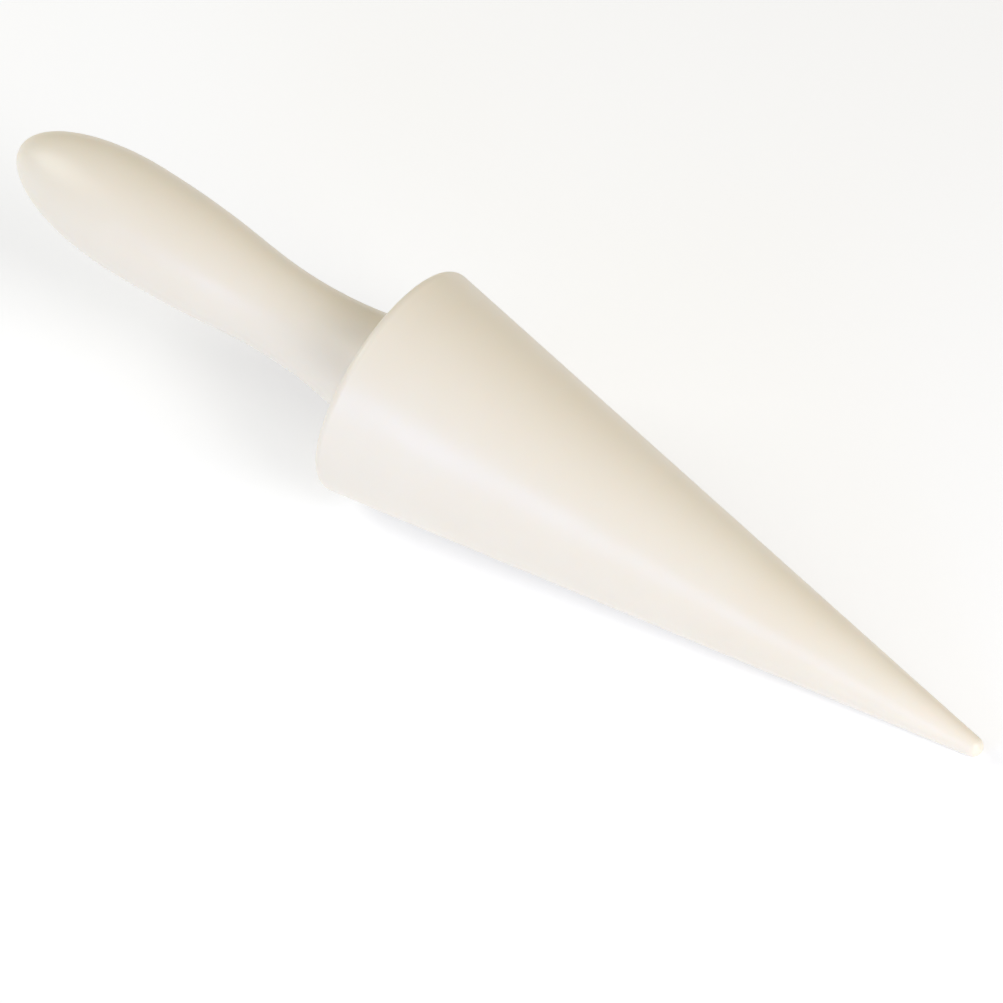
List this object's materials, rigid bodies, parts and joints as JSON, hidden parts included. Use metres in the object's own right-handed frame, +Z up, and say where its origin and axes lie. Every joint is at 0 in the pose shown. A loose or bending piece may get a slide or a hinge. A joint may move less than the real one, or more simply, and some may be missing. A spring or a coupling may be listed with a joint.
{
  "type": "cone roller",
  "caption": "Smooth tapered cone with a rounded nose and rim, and a turned grip behind it, for rolling hot wafers into cones by hand.",
  "frame": {"origin": "on the surface that the roller lies on, under the middle of its overall length and width", "axes": "+Z up; +X level and towards the nose, along the line on which the side of the cone rests; the grip rises towards -X"},
  "size_m": [0.2338, 0.0502, 0.0496],
  "materials": {
    "ivory_plastic": "satin, moulded in one ivory colour",
    "brass": "machined",
    "steel": "bright, as drawn"
  },
  "bodies": {
    "root": {"cone_shell": "ivory_plastic", "rear_plate": "ivory_plastic", "handle": "ivory_plastic", "handle_insert": "brass", "handle_screw": "steel", "screw_washer": "steel"}
  },
  "joints": []
}
